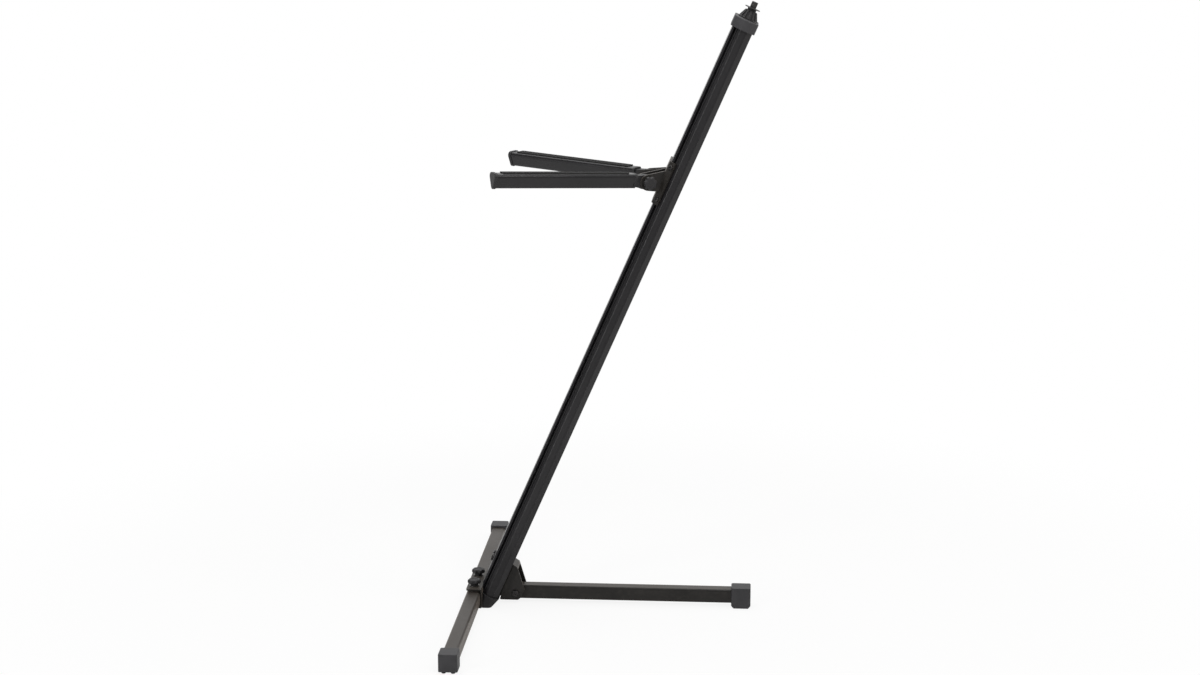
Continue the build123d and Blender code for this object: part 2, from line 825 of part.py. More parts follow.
# Rear foot cap
with BuildPart() as rear_foot:
    with BuildSketch(side_view):
        with BuildLine():
            Polyline(
                (rear_end_y - rear_foot_length, rear_foot_chamfer),
                (rear_end_y - rear_foot_length + rear_foot_chamfer, 0),
                (rear_end_y - rear_foot_chamfer, 0),
                (rear_end_y, rear_foot_chamfer),
                (rear_end_y, rear_foot_height),
                (rear_end_y - rear_foot_length, rear_foot_height),
                close=True,
            )
        make_face()
    extrude(amount=foot_width / 2, both=True)
    fillet(rear_foot.edges().filter_by(Axis.Z), foot_corner)
    fillet(rear_foot.faces().sort_by(Axis.Z)[-1].edges(), foot_edge)
    pocket = foot_pocket(rear_pivot, rear_tube_reach, rear_foot_length - foot_end_wall)
    add(pocket, mode=Mode.SUBTRACT)
rear_foot.part.label = "rear_foot"
export_step(rear_foot.part, "parts/rear_foot.step")

# Top collar: a cap over the column's end with a neck for the boom
with BuildPart() as top_collar:
    with BuildSketch(column_axis.offset(collar_base)):
        add(column_outline(collar_fit + collar_wall))
    extrude(amount=collar_height)
    with BuildSketch(column_axis.offset(collar_base)):
        add(column_outline(collar_fit))
    extrude(amount=collar_height - collar_top, mode=Mode.SUBTRACT)
    chamfer(top_collar.faces().sort_by(Axis(column_axis.origin, column_axis.z_dir))[-1].edges(), edge_break)
    add(shaft(post_plane(collar_end), collar_neck_radius, collar_neck_height))
    add(shaft(post_plane(column_end), post_radius, 2 * collar_height), mode=Mode.SUBTRACT)
    screw_row = Plane(column_axis.location * Location((0, half_depth - port_radius, collar_end)))
    for place in pair(screw_row, port_spacing):
        add(shaft(place, m4_radius + press_step, -2 * collar_top), mode=Mode.SUBTRACT)
top_collar.part.label = "top_collar"
export_step(top_collar.part, "parts/top_collar.step")

# Collar screws, down into the column's screw ports
with BuildPart() as collar_screws:
    for place in pair(screw_row, port_spacing):
        add(screw(place, m4_radius, collar_screw_length, m4_head_radius, m4_head_height, m4_key))
collar_screws.part.label = "collar_screws"
export_step(collar_screws.part, "parts/collar_screws.step")

# Boom post: a rod through the collar, stepped down above its disc to a free stud end
with BuildPart() as boom_post:
    post_base = column_end - post_below
    stud_base = rim_base + washer_thickness
    add(shaft(post_plane(post_base), post_radius, stud_base - post_base))
    add(shaft(post_plane(stud_base), stud_radius, post_above))
    chamfer(boom_post.edges().sort_by(Axis(column_axis.origin, column_axis.z_dir))[-1], edge_break)
boom_post.part.label = "boom_post"
export_step(boom_post.part, "parts/boom_post.step")

# Nut that holds the post under the collar's top
with BuildPart() as post_nut:
    add(hex_nut(post_plane(column_end - post_nut_height), post_nut_radius, post_radius, post_nut_height))
post_nut.part.label = "post_nut"
export_step(post_nut.part, "parts/post_nut.step")

# Disc on the post that keeps the clutch down
with BuildPart() as post_washer:
    add(ring(post_plane(rim_base), washer_radius, post_radius, washer_thickness))
post_washer.part.label = "post_washer"
export_step(post_washer.part, "parts/post_washer.step")

# Boom clutch: a ribbed cone that turns on the collar's neck and the post
with BuildPart() as boom_clutch:
    with Locations(post_plane(clutch_base)):
        with PolarLocations(0, clutch_fins):
            Box(
                clutch_base_radius,
                clutch_fin_width,
                clutch_height,
                align=(Align.MIN, Align.CENTER, Align.MIN),
            )
        Cone(
            clutch_base_radius,
            clutch_top_radius,
            clutch_height,
            align=(Align.CENTER, Align.CENTER, Align.MIN),
            mode=Mode.INTERSECT,
        )
        Cone(
            clutch_core_base,
            clutch_core_top,
            clutch_height,
            align=(Align.CENTER, Align.CENTER, Align.MIN),
        )
    add(shaft(post_plane(clutch_base), clutch_base_radius, clutch_rim))
    add(shaft(post_plane(clutch_base + clutch_height), clutch_neck_radius, clutch_collar_height))
    cavity = post_plane(clutch_base)
    add(
        shaft(cavity, collar_neck_radius + body_gap, collar_neck_height + body_gap),
        mode=Mode.SUBTRACT,
    )
    add(shaft(cavity, post_radius + running_fit, 2 * clutch_height), mode=Mode.SUBTRACT)
boom_clutch.part.label = "boom_clutch"
export_step(boom_clutch.part, "parts/boom_clutch.step")

# Tier saddle: bent sheet over the column's front, with a clamp boss and two ears for each arm
clamp_face = before_column(tier_bottom + clamp_height, saddle_stand)
with BuildPart() as tier_saddle:
    with BuildSketch(column_axis.offset(tier_bottom)):
        add(column_outline(saddle_stand))
        with Locations(facet_place(saddle_wing_end, -column_depth)):
            Rectangle(column_width, column_width, align=Align.MIN, mode=Mode.SUBTRACT)
        with Locations((0, half_depth)):
            Rectangle(2 * column_width, column_depth, mode=Mode.SUBTRACT)
        mirror(about=Plane.YZ, mode=Mode.INTERSECT)
    extrude(amount=tier_height)
    add(shaft(clamp_face, clamp_boss_radius, clamp_boss_length))
    for side in sides.values():
        swing = arm_side(side, 0)
        level = Plane(
            origin=swing.origin,
            x_dir=(side * sin(splay), -cos(splay), 0),
            z_dir=swing.z_dir,
        )
        for out in (ear_inside, -ear_outside):
            with BuildSketch(level.offset(out)):
                Circle(ear_radius)
                with Locations((-ear_root_reach, (ear_root_up - ear_root_down) / 2)):
                    Rectangle(ear_sheet, ear_root_up + ear_root_down)
                make_hull()
            extrude(amount=ear_sheet)
    with BuildSketch(column_axis.offset(tier_bottom - tier_height)):
        add(column_outline(body_gap))
    extrude(amount=3 * tier_height, mode=Mode.SUBTRACT)
    add(shaft(clamp_face.offset(clamp_boss_length), bore_radius, -tier_height), mode=Mode.SUBTRACT)
    for side in sides.values():
        ear_hole = arm_side(side, -2 * ear_outside)
        add(shaft(ear_hole, m8_radius + press_step, 4 * ear_outside), mode=Mode.SUBTRACT)
        for height in slot_screw_heights:
            place = facet_plane(side, height, 2 * saddle_stand)
            add(shaft(place, m5_radius + press_step, -4 * saddle_stand), mode=Mode.SUBTRACT)
tier_saddle.part.label = "tier_saddle"
export_step(tier_saddle.part, "parts/tier_saddle.step")

# Slot screws, through the saddle's wings into the slot nuts
with BuildPart() as slot_screws:
    length = saddle_stand + slot_nut_inset + slot_nut_thickness
    for side in sides.values():
        for height in slot_screw_heights:
            place = facet_plane(side, height, saddle_stand)
            add(screw(place, m5_radius, length, m5_head_radius, m5_head_height, m5_key))
slot_screws.part.label = "slot_screws"
export_step(slot_screws.part, "parts/slot_screws.step")

# Slot nuts, captive in the column's slots
with BuildPart() as slot_nuts:
    for side in sides.values():
        for height in slot_screw_heights:
            with BuildSketch(facet_plane(side, height, -slot_nut_inset)):
                Rectangle(slot_nut_width, slot_nut_length)
                Circle(m5_radius, mode=Mode.SUBTRACT)
            extrude(amount=-slot_nut_thickness)
slot_nuts.part.label = "slot_nuts"
export_step(slot_nuts.part, "parts/slot_nuts.step")

# Clamp stud and knob: they press a pad-ended stud on the column's front
clamp_knob_base = clamp_face.offset(clamp_boss_length + body_gap)
with BuildPart() as tier_clamp_stud:
    tip = before_column(tier_bottom + clamp_height, body_gap)
    add(shaft(tip, m8_radius, saddle_sheet + clamp_boss_length + body_gap + knob_depth))
tier_clamp_stud.part.label = "tier_clamp_stud"
export_step(tier_clamp_stud.part, "parts/tier_clamp_stud.step")

with BuildPart() as tier_clamp_knob:
    add(hand_knob(clamp_knob_base, knob_size, knob_height, m8_radius))
tier_clamp_knob.part.label = "tier_clamp_knob"
export_step(tier_clamp_knob.part, "parts/tier_clamp_knob.step")

# Tilt bolts of the arms, their heads between the arms
with BuildPart() as arm_pivot_bolts:
    length = 2 * ear_outside + washer_sheet + knob_depth
    for side in sides.values():
        inner = arm_side(side, -ear_outside)
        place = Plane(origin=inner.origin, x_dir=inner.x_dir, z_dir=inner.z_dir * -1)
        add(screw(place, m8_radius, length, m8_head_radius, m8_head_height, m8_key))
arm_pivot_bolts.part.label = "arm_pivot_bolts"
export_step(arm_pivot_bolts.part, "parts/arm_pivot_bolts.step")

# Washers under the tilt knobs
with BuildPart() as arm_washers:
    for side in sides.values():
        place = arm_side(side, ear_outside)
        add(ring(place, washer_grip_radius, m8_radius + press_step, washer_sheet))
arm_washers.part.label = "arm_washers"
export_step(arm_washers.part, "parts/arm_washers.step")

# Arms, each with its tilt knob, knuckle, end cap and grip pad
for name, side in sides.items():
    with BuildPart() as tilt_knob:
        place = arm_side(side, ear_outside + washer_sheet + body_gap)
        add(hand_knob(place, knob_size, knob_height, m8_radius))
    tilt_knob.part.label = f"tilt_knob_{name}"
    export_step(tilt_knob.part, f"parts/tilt_knob_{name}.step")

    with BuildPart() as arm_knuckle:
        with BuildSketch(arm_frame(side)):
            Circle(knuckle_radius)
            with Locations((arm_start - knuckle_flange / 2, knuckle_root_rise)):
                Rectangle(knuckle_flange, knuckle_root_height)
            make_hull()
        extrude(amount=knuckle_width / 2, both=True)
        with BuildSketch(arm_station(side, arm_start - knuckle_flange)):
            add(arm_outline())
        extrude(amount=knuckle_flange)
        with BuildSketch(arm_station(side, arm_start)):
            add(arm_outline(-arm_wall - arm_plug_gap))
        extrude(amount=knuckle_plug)
        place = arm_side(side, -knuckle_width)
        add(shaft(place, bore_radius, 2 * knuckle_width), mode=Mode.SUBTRACT)
    arm_knuckle.part.label = f"arm_knuckle_{name}"
    export_step(arm_knuckle.part, f"parts/arm_knuckle_{name}.step")

    with BuildPart() as arm:
        with BuildSketch(arm_station(side, arm_start)):
            add(arm_outline())
            add(arm_outline(-arm_wall), mode=Mode.SUBTRACT)
        extrude(amount=arm_length - arm_cap_thickness - arm_start)
    arm.part.label = f"arm_{name}"
    export_step(arm.part, f"parts/arm_{name}.step")

    with BuildPart() as arm_cap:
        with BuildSketch(arm_station(side, arm_length - arm_cap_thickness)):
            add(arm_outline(arm_cap_grow))
        extrude(amount=arm_cap_thickness)
        fillet(arm_cap.faces().sort_by(Axis((0, 0, 0), arm_frame(side).x_dir))[-1].edges(), foot_edge)
        with BuildSketch(arm_station(side, arm_length - arm_cap_thickness)):
            add(arm_outline(-arm_wall - arm_plug_gap))
        extrude(amount=-arm_cap_plug)
    arm_cap.part.label = f"arm_cap_{name}"
    export_step(arm_cap.part, f"parts/arm_cap_{name}.step")

    with BuildPart() as arm_pad:
        start = arm_start + pad_margin
        reach = arm_length - arm_cap_thickness - pad_margin - start
        with BuildSketch(arm_frame(side)):
            with Locations((start, arm_crown)):
                Rectangle(reach, pad_thickness, align=Align.MIN)
        extrude(amount=pad_width / 2, both=True)
    arm_pad.part.label = f"arm_pad_{name}"
    export_step(arm_pad.part, f"parts/arm_pad_{name}.step")
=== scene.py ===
import json
import math

import bmesh
import bpy
from mathutils import Matrix, Vector


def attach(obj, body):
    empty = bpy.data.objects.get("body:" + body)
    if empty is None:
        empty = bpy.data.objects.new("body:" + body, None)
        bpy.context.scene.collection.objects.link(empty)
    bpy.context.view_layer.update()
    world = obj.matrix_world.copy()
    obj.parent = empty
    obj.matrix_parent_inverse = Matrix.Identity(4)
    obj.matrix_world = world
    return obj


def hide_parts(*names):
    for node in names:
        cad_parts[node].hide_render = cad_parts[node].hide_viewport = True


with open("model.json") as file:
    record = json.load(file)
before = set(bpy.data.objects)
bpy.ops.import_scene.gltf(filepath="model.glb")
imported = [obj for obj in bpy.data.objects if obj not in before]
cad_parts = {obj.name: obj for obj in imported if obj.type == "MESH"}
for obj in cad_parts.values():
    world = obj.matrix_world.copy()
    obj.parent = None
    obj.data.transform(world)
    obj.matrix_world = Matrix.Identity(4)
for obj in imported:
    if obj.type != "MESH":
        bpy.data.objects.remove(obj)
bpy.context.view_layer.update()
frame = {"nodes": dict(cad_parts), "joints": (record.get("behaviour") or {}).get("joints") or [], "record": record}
bpy.context.scene.view_settings.view_transform = "Standard"

# What the frame says of the moving pieces and the faces that a keyboard lies on
joints = {joint["child"]: joint for joint in frame["joints"]}
mounts = {mount["name"]: mount for mount in frame["record"]["mounts"]}
SIDES = ("right", "left")
UP = Vector((0, 0, 1))


# Camera: the photograph's viewpoint, from the player's right and a little above
FOCAL_PX = 2140.3
IMAGE_WIDTH = 1200
SENSOR_MM = 36.0
CAMERA_PLACE = (3.9768, 0.2638, 1.3783)
CAMERA_DOWN = math.radians(12.014)
CAMERA_TURN = math.radians(4.041)
CAMERA_FAR = 200


def make_camera():
    """The camera, looking along -X, turned a little towards the player and tilted down."""
    lens = bpy.data.cameras.new("camera")
    lens.sensor_width = SENSOR_MM
    lens.lens = FOCAL_PX * SENSOR_MM / IMAGE_WIDTH
    lens.clip_end = CAMERA_FAR
    camera = bpy.data.objects.new("camera", lens)
    bpy.context.scene.collection.objects.link(camera)
    level = Vector((-math.cos(CAMERA_TURN), -math.sin(CAMERA_TURN), 0))
    looking = level * math.cos(CAMERA_DOWN) - UP * math.sin(CAMERA_DOWN)
    camera.location = CAMERA_PLACE
    camera.rotation_mode = "QUATERNION"
    camera.rotation_quaternion = looking.to_track_quat("-Z", "Y")
    bpy.context.scene.camera = camera


class Nodes:
    """A node tree with shorthand for the few nodes that the finishes, floor and room use."""

    def __init__(self, tree):
        self.tree = tree

    def node(self, kind, **settings):
        made = self.tree.nodes.new(kind)
        for key, value in settings.items():
            setattr(made, key, value)
        return made

    def link(self, source, target):
        self.tree.links.new(source, target)

    def spread(self, value, low, high, out_low=0.0, out_high=1.0, interpolation="LINEAR"):
        """A value's range mapped to another."""
        made = self.node("ShaderNodeMapRange", interpolation_type=interpolation)
        ends = {"From Min": low, "From Max": high, "To Min": out_low, "To Max": out_high}
        for key, number in ends.items():
            made.inputs[key].default_value = number
        self.link(value, made.inputs["Value"])
        return made.outputs["Result"]

    def math(self, operation, *values):
        made = self.node("ShaderNodeMath", operation=operation)
        for socket, value in zip(made.inputs, values):
            if isinstance(value, (int, float)):
                socket.default_value = value
            else:
                self.link(value, socket)
        return made.outputs["Value"]


BEVEL_SAMPLES = 4

# Cosines between the rounded and the flat normal at which edge wear starts, and is full
EDGE_START = 0.99
EDGE_FULL = 0.85


class Finish(Nodes):
    """A material with a Principled surface, worn and rounded along its edges."""

    def __init__(self, name, rounding, **sockets):
        self.material = bpy.data.materials.new(name)
        self.material.use_nodes = True
        super().__init__(self.material.node_tree)
        self.surface = self.tree.nodes["Principled BSDF"]
        for key, value in sockets.items():
            self.surface.inputs[key.replace("_", " ")].default_value = value
        self.coords = self.node("ShaderNodeTexCoord").outputs["Object"]
        bevel = self.node("ShaderNodeBevel", samples=BEVEL_SAMPLES)
        bevel.inputs["Radius"].default_value = rounding
        self.normal = bevel.outputs["Normal"]
        self.edge = self.edge_mask(self.normal)

    def edge_mask(self, rounded):
        """High where the rounded normal leaves the flat one: along the edges that hands rub."""
        flat = self.node("ShaderNodeNewGeometry").outputs["Normal"]
        dot = self.node("ShaderNodeVectorMath", operation="DOT_PRODUCT")
        self.link(rounded, dot.inputs[0])
        self.link(flat, dot.inputs[1])
        return self.spread(dot.outputs["Value"], EDGE_START, EDGE_FULL)

    def mapped(self, scale=(1, 1, 1), turn=(0, 0, 0)):
        """Object coordinates turned, then stretched."""
        turned = self.node("ShaderNodeMapping")
        turned.inputs["Rotation"].default_value = turn
        self.link(self.coords, turned.inputs["Vector"])
        stretched = self.node("ShaderNodeMapping")
        stretched.inputs["Scale"].default_value = scale
        self.link(turned.outputs["Vector"], stretched.inputs["Vector"])
        return stretched.outputs["Vector"]

    def noise(self, scale, detail=2.0, rough=0.5, vector=None):
        made = self.node("ShaderNodeTexNoise")
        for key, number in {"Scale": scale, "Detail": detail, "Roughness": rough}.items():
            made.inputs[key].default_value = number
        self.link(self.coords if vector is None else vector, made.inputs["Vector"])
        return made.outputs["Fac"]

    def cells(self, scale):
        made = self.node("ShaderNodeTexVoronoi")
        made.inputs["Scale"].default_value = scale
        self.link(self.coords, made.inputs["Vector"])
        return made.outputs["Distance"]

    def mix(self, amount, first, second):
        """Two colours mixed by an amount."""
        made = self.node("ShaderNodeMix", data_type="RGBA")
        sockets = {socket.identifier: socket for socket in made.inputs}
        self.link(amount, sockets["Factor_Float"])
        for key, value in {"A_Color": first, "B_Color": second}.items():
            if isinstance(value, tuple):
                sockets[key].default_value = (*value, 1)
            else:
                self.link(value, sockets[key])
        results = {socket.identifier: socket for socket in made.outputs}
        return results["Result_Color"]

    def bump(self, height, depth, strength):
        made = self.node("ShaderNodeBump")
        made.inputs["Strength"].default_value = strength
        made.inputs["Distance"].default_value = depth
        self.link(height, made.inputs["Height"])
        self.link(self.normal, made.inputs["Normal"])
        self.normal = made.outputs["Normal"]

    def done(self, colour, roughness):
        self.link(colour, self.surface.inputs["Base Color"])
        self.link(roughness, self.surface.inputs["Roughness"])
        self.link(self.normal, self.surface.inputs["Normal"])
        return self.material


# Linear colours: each material's darker and lighter tone, and the tone of its rubbed edges
ANODISED_TONES = (0.0062, 0.0058, 0.0066), (0.0145, 0.0134, 0.0150)
ANODISED_RUBBED = (0.10, 0.095, 0.092)
COAT_TONES = (0.0085, 0.0078, 0.0072), (0.0165, 0.0152, 0.0140)
COAT_RUBBED = (0.13, 0.124, 0.115)
COAT_SHEEN = (1.0, 0.84, 0.7, 1)
DUST = (0.075, 0.066, 0.056)
KNOB_TONES = (0.011, 0.0105, 0.0112), (0.02, 0.0192, 0.0205)
CAP_TONES = (0.026, 0.0255, 0.0275), (0.04, 0.039, 0.042)
PLASTIC_SCUFF = (0.085, 0.083, 0.085)
PLASTIC_RUBBED = (0.12, 0.118, 0.122)
BLACKENED_TONES = (0.028, 0.027, 0.029), (0.066, 0.062, 0.06)
BLACKENED_RUBBED = (0.24, 0.235, 0.23)
ZINC_TONES = (0.15, 0.147, 0.14), (0.27, 0.265, 0.255)
ZINC_RUBBED = (0.42, 0.415, 0.4)
RUBBER_TONES = (0.012, 0.012, 0.0125), (0.024, 0.0235, 0.023)
RUBBER_RUBBED = (0.07, 0.068, 0.066)


def extrusion_finish(name, along):
    """Black anodised extrusion: die lines along its length, a soft sheen and rubbed corners."""
    f = Finish(name, rounding=0.0004, Specular_IOR_Level=0.36)
    turn = along.rotation_difference(UP).to_euler()
    drawn = f.mapped(scale=(1, 1, 0.004), turn=turn)
    lines = f.noise(scale=1400, detail=3, rough=0.6, vector=drawn)
    cloud = f.noise(scale=9, detail=4, rough=0.55)
    grain = f.noise(scale=2600, detail=1)
    rub = f.spread(f.noise(scale=60, detail=4), 0.45, 0.75, out_low=0.0, out_high=0.55)
    tone = f.math("ADD", f.math("MULTIPLY", lines, 0.5), f.math("MULTIPLY", cloud, 0.5))
    colour = f.mix(f.spread(tone, 0.35, 0.65), *ANODISED_TONES)
    colour = f.mix(f.math("MULTIPLY", f.edge, rub), colour, ANODISED_RUBBED)
    f.bump(lines, depth=0.00001, strength=0.35)
    f.bump(grain, depth=0.000008, strength=0.4)
    uneven = f.math("ADD", tone, f.math("MULTIPLY", grain, 0.2))
    return f.done(colour, f.spread(uneven, 0.3, 0.9, out_low=0.24, out_high=0.36))


def coat_finish():
    """Satin black powder coat on steel: a pebbled skin, a warm veil of dust and rubbed edges."""
    f = Finish(
        "black_powder_coat",
        rounding=0.0007,
        Specular_IOR_Level=0.26,
        Sheen_Weight=0.16,
        Sheen_Roughness=0.45,
        Sheen_Tint=COAT_SHEEN,
    )
    pebble = f.noise(scale=1500, detail=2, rough=0.5)
    cloud = f.noise(scale=14, detail=4, rough=0.6)
    dust = f.spread(f.noise(scale=110, detail=5, rough=0.7), 0.5, 0.8)
    rub = f.spread(f.noise(scale=75, detail=4), 0.5, 0.8, out_low=0.0, out_high=0.6)
    colour = f.mix(f.spread(cloud, 0.3, 0.7), *COAT_TONES)
    colour = f.mix(f.math("MULTIPLY", dust, 0.2), colour, DUST)
    colour = f.mix(f.math("MULTIPLY", f.edge, rub), colour, COAT_RUBBED)
    f.bump(pebble, depth=0.00006, strength=0.5)
    f.bump(f.cells(2100), depth=0.00003, strength=0.35)
    uneven = f.math("ADD", cloud, f.math("MULTIPLY", dust, 0.3))
    return f.done(colour, f.spread(uneven, 0.3, 1.0, out_low=0.36, out_high=0.52))


def plastic_finish(name, tones, rounding):
    """Moulded black plastic: spark-eroded grain with small scuffs and paler, polished edges."""
    f = Finish(name, rounding, Specular_IOR_Level=0.35)
    cloud = f.noise(scale=30, detail=3, rough=0.5)
    wiped = f.mapped(scale=(1, 1, 5))
    scuff = f.spread(f.noise(scale=160, detail=5, rough=0.75, vector=wiped), 0.56, 0.75)
    colour = f.mix(f.spread(cloud, 0.3, 0.7), *tones)
    colour = f.mix(f.math("MULTIPLY", scuff, 0.2), colour, PLASTIC_SCUFF)
    colour = f.mix(f.math("MULTIPLY", f.edge, 0.55), colour, PLASTIC_RUBBED)
    f.bump(f.cells(1700), depth=0.00005, strength=0.45)
    f.bump(f.noise(scale=3200, detail=2, rough=0.6), depth=0.00003, strength=0.4)
    uneven = f.math("SUBTRACT", cloud, f.math("MULTIPLY", scuff, 0.3))
    return f.done(colour, f.spread(uneven, 0.0, 1.0, out_low=0.44, out_high=0.64))


def blackened_finish():
    """Blackened steel, a little polished where tools and hands touch it."""
    f = Finish("blackened_steel", rounding=0.0003, Metallic=0.85)
    cloud = f.noise(scale=220, detail=4, rough=0.6)
    colour = f.mix(f.spread(cloud, 0.35, 0.65), *BLACKENED_TONES)
    colour = f.mix(f.math("MULTIPLY", f.edge, 0.6), colour, BLACKENED_RUBBED)
    f.bump(f.noise(scale=2600, detail=2), depth=0.00002, strength=0.4)
    return f.done(colour, f.spread(cloud, 0.3, 0.7, out_low=0.28, out_high=0.46))


def zinc_finish():
    """Zinc-plated steel dulled by use: a mottled, softly brushed grey."""
    f = Finish("zinc_plated_steel", rounding=0.0002, Metallic=1.0)
    cloud = f.noise(scale=90, detail=5, rough=0.6)
    brushed = f.noise(scale=420, detail=3, rough=0.6, vector=f.mapped(scale=(1, 1, 12)))
    colour = f.mix(f.spread(cloud, 0.3, 0.7), *ZINC_TONES)
    colour = f.mix(f.math("MULTIPLY", f.edge, 0.4), colour, ZINC_RUBBED)
    f.bump(brushed, depth=0.00002, strength=0.5)
    uneven = f.math("ADD", cloud, brushed)
    return f.done(colour, f.spread(uneven, 0.6, 1.4, out_low=0.26, out_high=0.44))


def rubber_finish():
    """Soft black rubber with a dull, dusty skin."""
    f = Finish("grip_rubber", rounding=0.0002, Specular_IOR_Level=0.25)
    cloud = f.noise(scale=45, detail=4, rough=0.6)
    colour = f.mix(f.spread(cloud, 0.3, 0.7), *RUBBER_TONES)
    colour = f.mix(f.math("MULTIPLY", f.edge, 0.3), colour, RUBBER_RUBBED)
    f.bump(f.noise(scale=2300, detail=2, rough=0.6), depth=0.00005, strength=0.6)
    return f.done(colour, f.spread(cloud, 0.3, 0.7, out_low=0.7, out_high=0.88))


def side_axes(side):
    """An arm's directions: outwards along it, across it, and up from the face a keyboard lies on."""
    up = Vector(mounts[f"pad_{side}"]["axis"])
    across = Vector(joints[f"arm_{side}"]["axis"])
    return across.cross(up), across, up


cap_plastic = plastic_finish("grey_black_moulded_plastic", CAP_TONES, rounding=0.0009)
FINISHES = {
    "black_extrusion": extrusion_finish("anodised_column", Vector(joints["carriage"]["axis"])),
    "black_steel": coat_finish(),
    "black_plastic": plastic_finish("black_moulded_plastic", KNOB_TONES, rounding=0.0005),
    "screw_steel": blackened_finish(),
    "plain_steel": zinc_finish(),
    "grip_rubber": rubber_finish(),
}

# Nodes whose finish differs a little from their slot's usual one
CAPS = ("top_collar", "rear_foot", "front_foot_right", "front_foot_left")
OWN_FINISHES = dict.fromkeys(CAPS, cap_plastic)
for arm_side in SIDES:
    OWN_FINISHES[f"arm_{arm_side}"] = extrusion_finish(f"anodised_arm_{arm_side}", side_axes(arm_side)[0])


def dress_nodes():
    """Gives every CAD node the finish of its slot, or its own."""
    for part in frame["record"]["subparts"]:
        materials = frame["nodes"][part["node"]].data.materials
        materials.clear()
        materials.append(OWN_FINISHES.get(part["node"], FINISHES[part["material_slot"]]))


# Detailed pieces that stand for plainer CAD nodes
SHARP_FOLD = math.radians(38)
CORNER_STEPS = 5
SAME_PLACE = 1e-7
STUD_RADIUS = 0.004
POST_RADIUS = 0.0061
BORE_FIT = 0.0001

# Each knob's node, with its body, radius and height
KNOBS = {
    "hub_knob_right": ("hub_knob_right", 0.013, 0.012),
    "hub_knob_left": ("hub_knob_left", 0.013, 0.012),
    "rear_clamp_knob": ("rear_clamp_knob", 0.014, 0.013),
    "tier_clamp_knob": ("tier_clamp", 0.013, 0.012),
    "tilt_knob_right": ("tilt_knob_right", 0.013, 0.012),
    "tilt_knob_left": ("tilt_knob_left", 0.013, 0.012),
}
KNOB_LOBES = 7
STEPS_PER_LOBE = 16
KNOB_END_WALL = 0.003
KNOB_DISH = 0.0007
SCOOP_PLACE = 1.2
SCOOP_SHARE = 0.36
SCOOP_SOFTNESS = 0.12

CLUTCH_RIBS = 12
STEPS_PER_RIB = 14
CLUTCH_RIM = 0.019
CLUTCH_CONE_TOP = 0.0112
CLUTCH_CONE_HEIGHT = 0.016
CLUTCH_NECK = 0.0084
CLUTCH_HEIGHT = 0.0202
CLUTCH_CAVITY = 0.0089
CLUTCH_CAVITY_DEPTH = 0.0123
RIB_SHARPNESS = 1.6

PAD_PITCH = 0.004
PAD_BORDER = 0.0016
PAD_GROOVE = 0.0008
PAD_ROUND = 0.0004

# One rib and groove: places as shares of the pitch, each with the groove's depth there
GROOVE_SHAPE = (0.2, 0), (0.32, PAD_GROOVE), (0.68, PAD_GROOVE), (0.8, 0)
SMALL_ROUND = 0.0004


def finish_piece(mesh, name, body, node, slot):
    """Makes an object of built mesh code, in the place of its CAD node and on the same body."""
    bmesh.ops.recalc_face_normals(mesh, faces=mesh.faces)
    for edge in mesh.edges:
        edge.smooth = edge.calc_face_angle(0) < SHARP_FOLD
    for face in mesh.faces:
        face.smooth = True
    data = bpy.data.meshes.new(name)
    mesh.to_mesh(data)
    mesh.free()
    data.materials.append(FINISHES[slot])
    piece = bpy.data.objects.new(name, data)
    bpy.context.scene.collection.objects.link(piece)
    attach(piece, body)
    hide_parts(node)


def softened(corners):
    """A profile of corners (height, radius, lobe share, rounding) with each corner rounded."""
    points = []
    for index, (*place, rounding) in enumerate(corners):
        corner = Vector(place)
        if not rounding:
            points.append(corner)
            continue
        ends = []
        for beside in (corners[index - 1], corners[index + 1]):
            leg = Vector(beside[:3]) - corner
            ends.append(corner + leg * min(0.5, rounding / leg.xy.length))
        for step in range(CORNER_STEPS + 1):
            t = step / CORNER_STEPS
            points.append(ends[0] * (1 - t) ** 2 + corner * 2 * t * (1 - t) + ends[1] * t**2)
    return points


def turned(corners, segments, reach, joint):
    """A closed turned form, its profile's corners in order, standing at a joint's place."""
    mesh = bmesh.new()
    loops = []
    for height, radius, share in softened(corners):
        if radius == 0:
            loops.append([mesh.verts.new((0, 0, height))])
            continue
        loop = []
        for step in range(segments):
            turn = 2 * math.pi * step / segments
            out = reach(radius, turn, share)
            loop.append(mesh.verts.new((out * math.cos(turn), out * math.sin(turn), height)))
        loops.append(loop)
    for lower, upper in zip(loops, loops[1:]):
        for step in range(segments):
            following = (step + 1) % segments
            corners_of_face = [lower[step % len(lower)], lower[following % len(lower)]]
            corners_of_face += [upper[following % len(upper)], upper[step % len(upper)]]
            mesh.faces.new(dict.fromkeys(corners_of_face))
    bmesh.ops.remove_doubles(mesh, verts=mesh.verts, dist=SAME_PLACE)
    stand = UP.rotation_difference(Vector(joint["axis"])).to_matrix().to_4x4()
    mesh.transform(Matrix.Translation(joint["pos_m"]) @ stand)
    return mesh


def soft_min(a, b, k):
    """The smaller of two numbers, rounded where they meet."""
    h = max(k - abs(a - b), 0) / k
    return min(a, b) - h * h * k / 4


def knob_reach(radius, turn, share):
    """A knob's radius at a turn: finger scoops cut into a round grip."""
    pitch = 2 * math.pi / KNOB_LOBES
    offset = (turn + pitch / 2) % pitch - pitch / 2
    centre = SCOOP_PLACE * radius
    inside = (SCOOP_SHARE * radius) ** 2 - (centre * math.sin(offset)) ** 2
    cut = 2 * radius
    if inside > 0:
        cut = centre * math.cos(offset) - math.sqrt(inside)
    return radius + share * (soft_min(radius, cut, SCOOP_SOFTNESS * radius) - radius)


